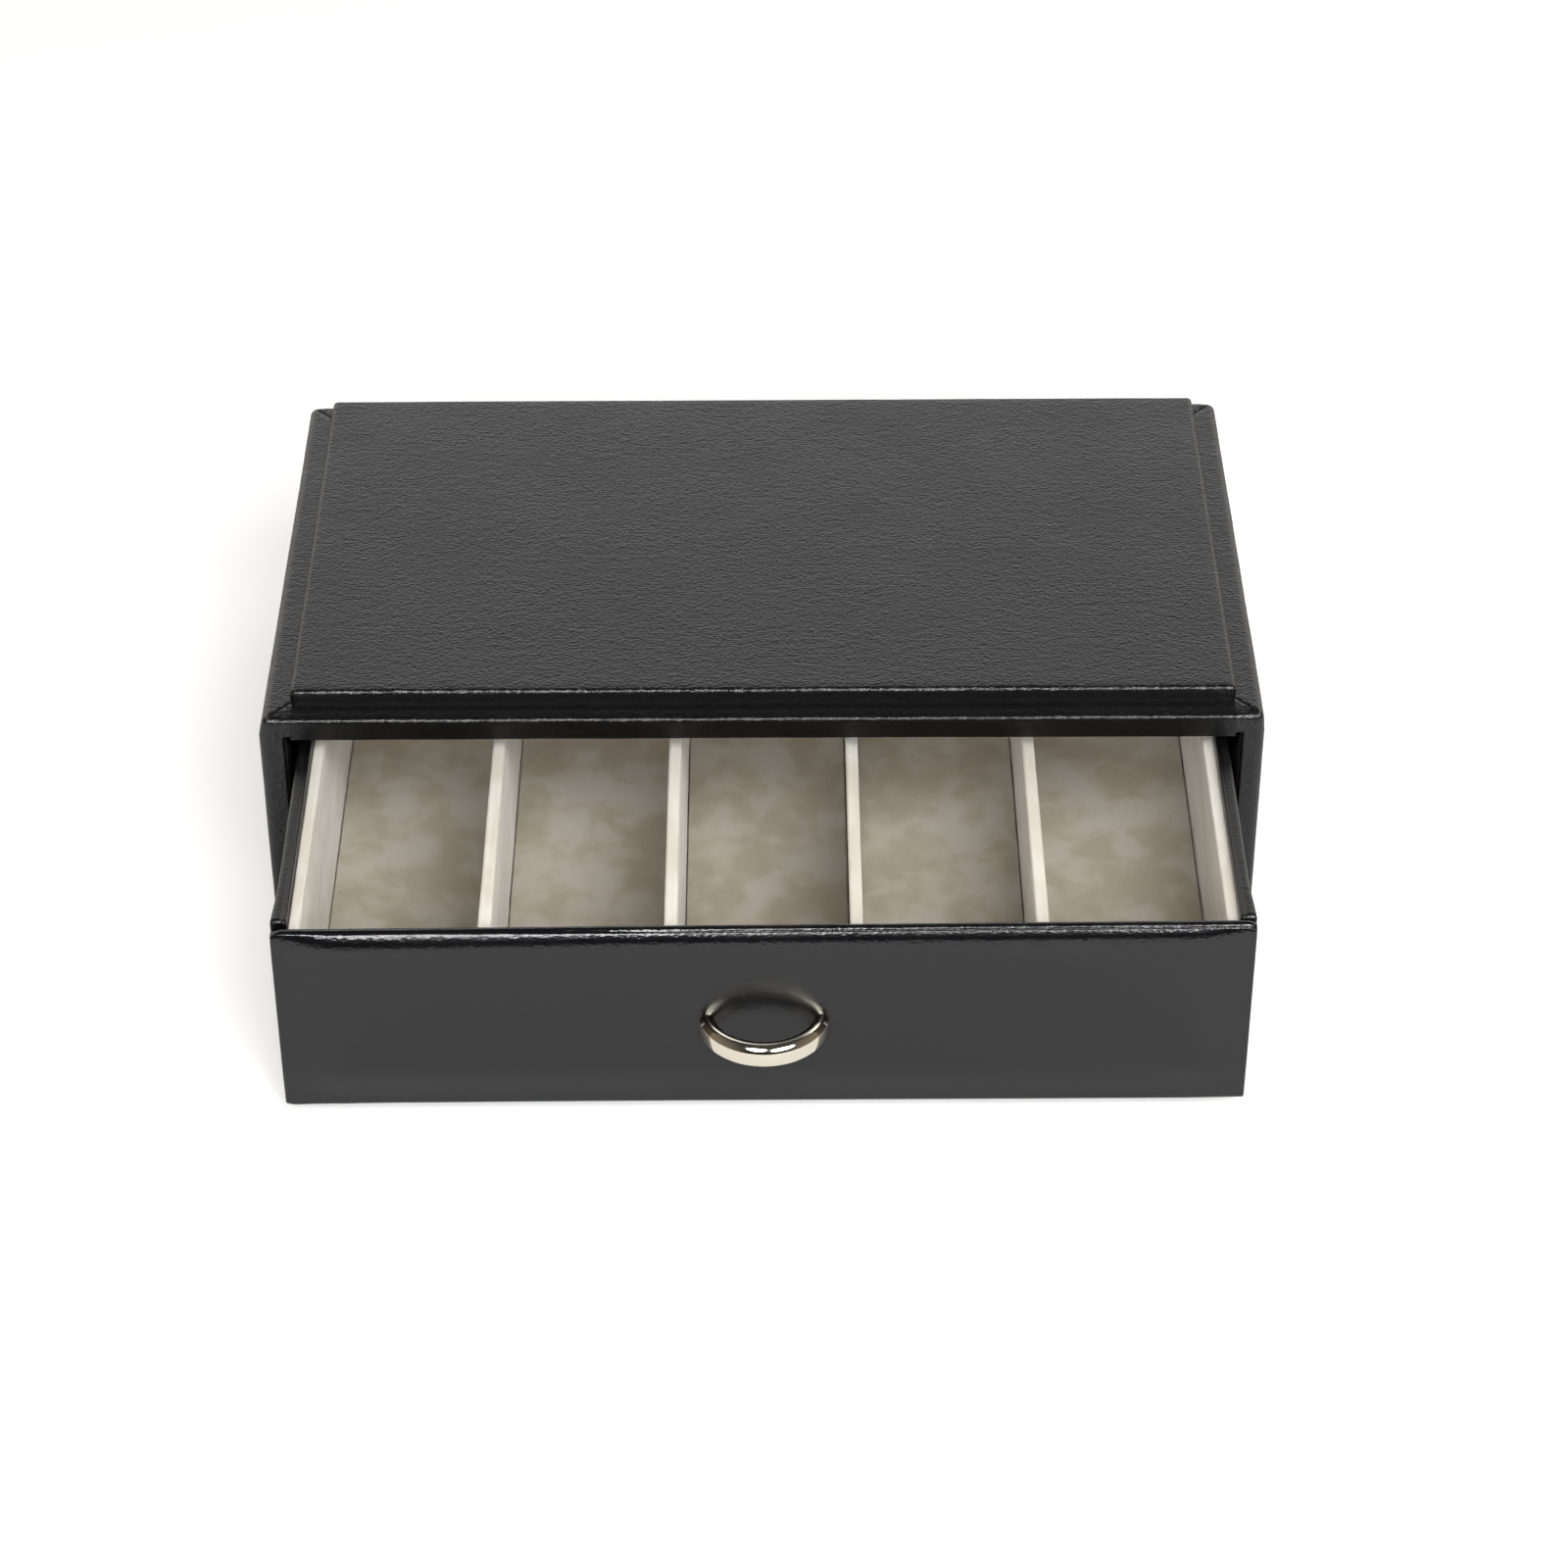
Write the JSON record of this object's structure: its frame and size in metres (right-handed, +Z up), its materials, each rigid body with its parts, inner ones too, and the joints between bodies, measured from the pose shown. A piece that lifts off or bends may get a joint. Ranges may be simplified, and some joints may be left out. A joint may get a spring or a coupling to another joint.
{
  "type": "eyeglasses storage box",
  "caption": "Low leather-covered box with a raised top panel and a velour-lined drawer, divided into long bays for folded glasses and pulled by a half-ring handle.",
  "frame": {"origin": "centre of the case's underside, on the surface that the box stands on", "axes": "+X to the right seen from the front, -Y out of the drawer's front, +Z up"},
  "size_m": [0.31, 0.2924, 0.0867],
  "materials": {
    "black_leather": "pebble-grained imitation leather, satin",
    "board": "raw fibreboard",
    "foam": "grey open-cell foam",
    "black_cloth": "matt paper-backed cloth",
    "cream_velour": "short-pile velour",
    "taupe_velour": "short-pile velour",
    "polished_nickel": "polished nickel plate",
    "zinc_steel": "bright zinc plate"
  },
  "bodies": {
    "case": {"back_board": "board", "back_cover": "black_leather", "back_lining": "black_cloth", "base_sheet": "black_cloth", "bottom_board": "board", "bottom_cover": "black_leather", "ceiling_lining": "black_cloth", "floor_lining": "black_cloth", "left_side_board": "board", "left_side_cover": "black_leather", "left_side_lining": "black_cloth", "raised_panel_board": "board", "raised_panel_cover": "black_leather", "raised_panel_foam": "foam", "right_side_board": "board", "right_side_cover": "black_leather", "right_side_lining": "black_cloth", "top_board": "board", "top_cover": "black_leather"},
    "drawer": {"back_pad": "cream_velour", "divider_1": "cream_velour", "divider_2": "cream_velour", "divider_3": "cream_velour", "divider_4": "cream_velour", "drawer_back_board": "board", "drawer_back_cover": "black_leather", "drawer_base_sheet": "black_cloth", "drawer_bottom_board": "board", "drawer_front_board": "board", "drawer_front_cover": "black_leather", "drawer_front_foam": "foam", "drawer_left_board": "board", "drawer_left_cover": "black_leather", "drawer_right_board": "board", "drawer_right_cover": "black_leather", "floor_pad_1": "taupe_velour", "floor_pad_2": "taupe_velour", "floor_pad_3": "taupe_velour", "floor_pad_4": "taupe_velour", "floor_pad_5": "taupe_velour", "front_pad": "cream_velour", "handle_screws": "zinc_steel", "handle_washers": "zinc_steel", "left_pad": "cream_velour", "pull_handle": "polished_nickel", "right_pad": "cream_velour"}
  },
  "joints": [
    {"name": "drawer_slide", "type": "slide", "parent": "case", "child": "drawer", "axis": [0, -1, 0], "range_m": [-0.0904, 0.06]}
  ]
}
